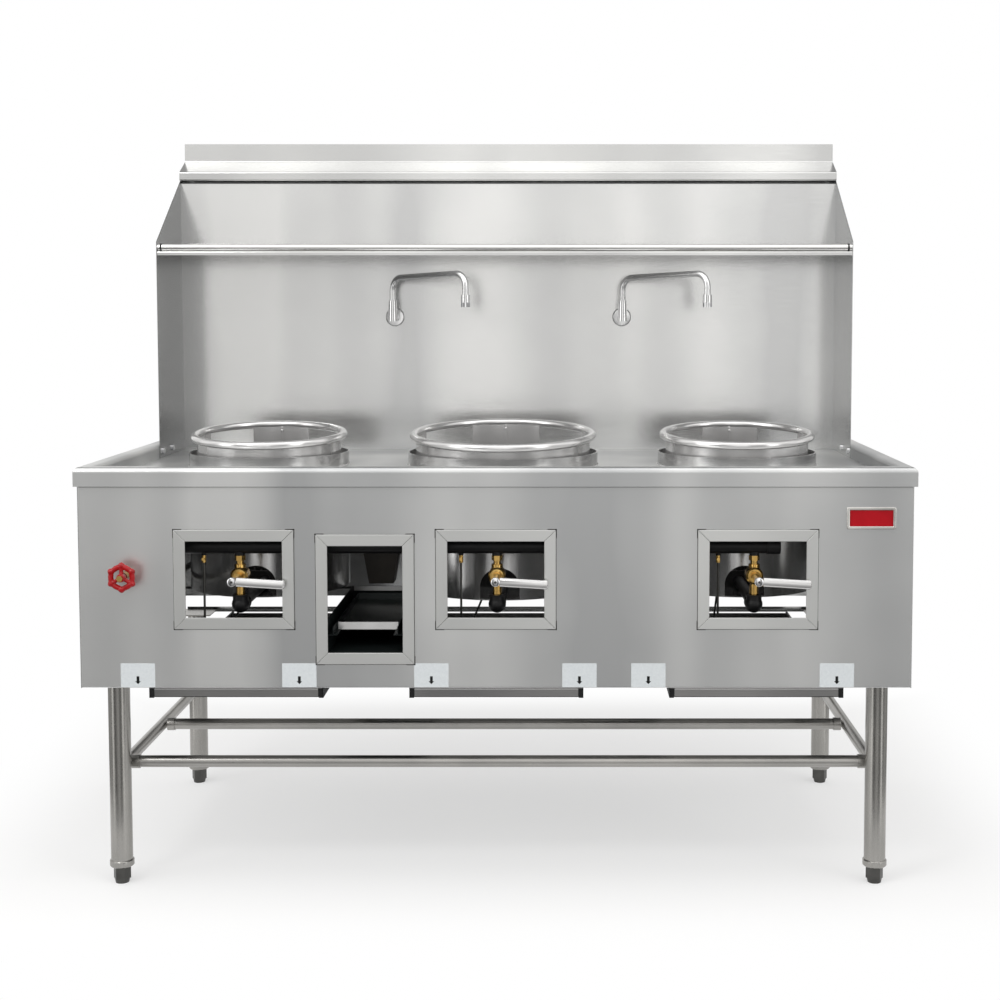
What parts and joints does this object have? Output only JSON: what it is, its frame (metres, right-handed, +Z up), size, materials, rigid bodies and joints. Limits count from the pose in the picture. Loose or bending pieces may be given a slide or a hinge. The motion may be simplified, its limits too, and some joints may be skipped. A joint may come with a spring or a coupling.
{
  "type": "wok range",
  "caption": "Free-standing gas wok range with round fire chambers, tilted wok rings, lever valves, drip trays, swing spouts, an overshelf and a flue riser.",
  "frame": {"origin": "on the floor, under the centre of the overall box", "axes": "+X to the operator's right along the range, +Y to the back, +Z up"},
  "size_m": [1.829, 0.976, 1.736],
  "materials": {
    "satin_steel": "brushed stainless sheet",
    "tube_steel": "satin stainless tube",
    "ring_steel": "polished stainless with light use marks",
    "drum_steel": "bright stainless sheet",
    "cast_iron": "dark casting",
    "black_pipe": "black pipe, satin",
    "brass": "machined brass",
    "chrome": "polished",
    "red_enamel": "gloss red enamel",
    "dark_runner": "black, satin",
    "foot_steel": "plain steel"
  },
  "bodies": {
    "range": {"back_crossmember": "satin_steel", "back_panel": "satin_steel", "burner_feeds": "black_pipe", "burners": "cast_iron", "chamber_centre": "drum_steel", "chamber_left": "drum_steel", "chamber_right": "drum_steel", "drain_chute": "cast_iron", "faucet_body_left": "chrome", "faucet_body_right": "chrome", "flue_cap": "satin_steel", "front_panel": "satin_steel", "gas_inlet_pipe": "black_pipe", "gas_manifold": "black_pipe", "gas_valve_centre": "brass", "gas_valve_left": "brass", "gas_valve_right": "brass", "leg_back_left": "tube_steel", "leg_back_right": "tube_steel", "leg_front_left": "tube_steel", "leg_front_right": "tube_steel", "lower_frame": "tube_steel", "pilot_tubes": "tube_steel", "pilot_valves": "brass", "riser_back": "satin_steel", "shelf_plate": "satin_steel", "shelf_tube": "tube_steel", "side_panel_left": "satin_steel", "side_panel_right": "satin_steel", "splash_panel": "satin_steel", "top_deck": "satin_steel", "tray_runners": "dark_runner", "water_inlet_pipe": "tube_steel", "water_pipe": "tube_steel", "water_valve": "brass", "window_frame_centre": "satin_steel", "window_frame_left": "satin_steel", "window_frame_right": "satin_steel", "window_frame_storage": "satin_steel", "wing_bolts": "chrome", "wing_left": "satin_steel", "wing_right": "satin_steel"},
    "wok_ring_left": {"wok_ring_left": "ring_steel"},
    "wok_ring_centre": {"wok_ring_centre": "ring_steel"},
    "wok_ring_right": {"wok_ring_right": "ring_steel"},
    "valve_lever_left": {"valve_lever_left": "ring_steel"},
    "valve_lever_centre": {"valve_lever_centre": "ring_steel"},
    "valve_lever_right": {"valve_lever_right": "ring_steel"},
    "handwheel": {"handwheel": "red_enamel", "handwheel_stem": "foot_steel"},
    "spout_left": {"spout_left": "chrome"},
    "spout_right": {"spout_right": "chrome"},
    "drip_tray_left": {"drip_tray_left": "satin_steel"},
    "drip_tray_centre": {"drip_tray_centre": "satin_steel"},
    "drip_tray_right": {"drip_tray_right": "satin_steel"},
    "storage_tray": {"storage_tray": "drum_steel"},
    "foot_front_left": {"foot_front_left": "foot_steel"},
    "foot_front_right": {"foot_front_right": "foot_steel"},
    "foot_back_left": {"foot_back_left": "foot_steel"},
    "foot_back_right": {"foot_back_right": "foot_steel"}
  },
  "joints": [
    {"name": "wok_ring_left_lift", "type": "slide", "parent": "range", "child": "wok_ring_left", "axis": [0, 0, 1], "range_m": [0, 0.2]},
    {"name": "wok_ring_centre_lift", "type": "slide", "parent": "range", "child": "wok_ring_centre", "axis": [0, 0, 1], "range_m": [0, 0.2]},
    {"name": "wok_ring_right_lift", "type": "slide", "parent": "range", "child": "wok_ring_right", "axis": [0, 0, 1], "range_m": [0, 0.2]},
    {"name": "valve_lever_left_turn", "type": "hinge", "parent": "range", "child": "valve_lever_left", "pos_m": [-0.57, -0.454, 0.703], "axis": [0, -1, 0], "range_deg": [0, 90]},
    {"name": "valve_lever_centre_turn", "type": "hinge", "parent": "range", "child": "valve_lever_centre", "pos_m": [0, -0.454, 0.703], "axis": [0, -1, 0], "range_deg": [0, 90]},
    {"name": "valve_lever_right_turn", "type": "hinge", "parent": "range", "child": "valve_lever_right", "pos_m": [0.57, -0.454, 0.703], "axis": [0, -1, 0], "range_deg": [0, 90]},
    {"name": "handwheel_turn", "type": "hinge", "parent": "range", "child": "handwheel", "pos_m": [-0.804, -0.47, 0.715], "axis": [0, -1, 0], "range_deg": [0, 1080]},
    {"name": "spout_left_swing", "type": "hinge", "parent": "range", "child": "spout_left", "pos_m": [-0.3035, 0.34, 1.3], "axis": [0, 0, 1], "range_deg": [-130, 40]},
    {"name": "spout_right_swing", "type": "hinge", "parent": "range", "child": "spout_right", "pos_m": [0.3035, 0.34, 1.3], "axis": [0, 0, 1], "range_deg": [-130, 40]},
    {"name": "drip_tray_left_slide", "type": "slide", "parent": "range", "child": "drip_tray_left", "axis": [0, -1, 0], "range_m": [0, 0.6]},
    {"name": "drip_tray_centre_slide", "type": "slide", "parent": "range", "child": "drip_tray_centre", "axis": [0, -1, 0], "range_m": [0, 0.6]},
    {"name": "drip_tray_right_slide", "type": "slide", "parent": "range", "child": "drip_tray_right", "axis": [0, -1, 0], "range_m": [0, 0.6]},
    {"name": "storage_tray_slide", "type": "slide", "parent": "range", "child": "storage_tray", "axis": [0, -1, 0], "range_m": [0, 0.25]},
    {"name": "foot_front_left_level", "type": "slide", "parent": "range", "child": "foot_front_left", "axis": [0, 0, -1], "range_m": [0, 0.025]},
    {"name": "foot_front_right_level", "type": "slide", "parent": "range", "child": "foot_front_right", "axis": [0, 0, -1], "range_m": [0, 0.025]},
    {"name": "foot_back_left_level", "type": "slide", "parent": "range", "child": "foot_back_left", "axis": [0, 0, -1], "range_m": [0, 0.025]},
    {"name": "foot_back_right_level", "type": "slide", "parent": "range", "child": "foot_back_right", "axis": [0, 0, -1], "range_m": [0, 0.025]}
  ]
}
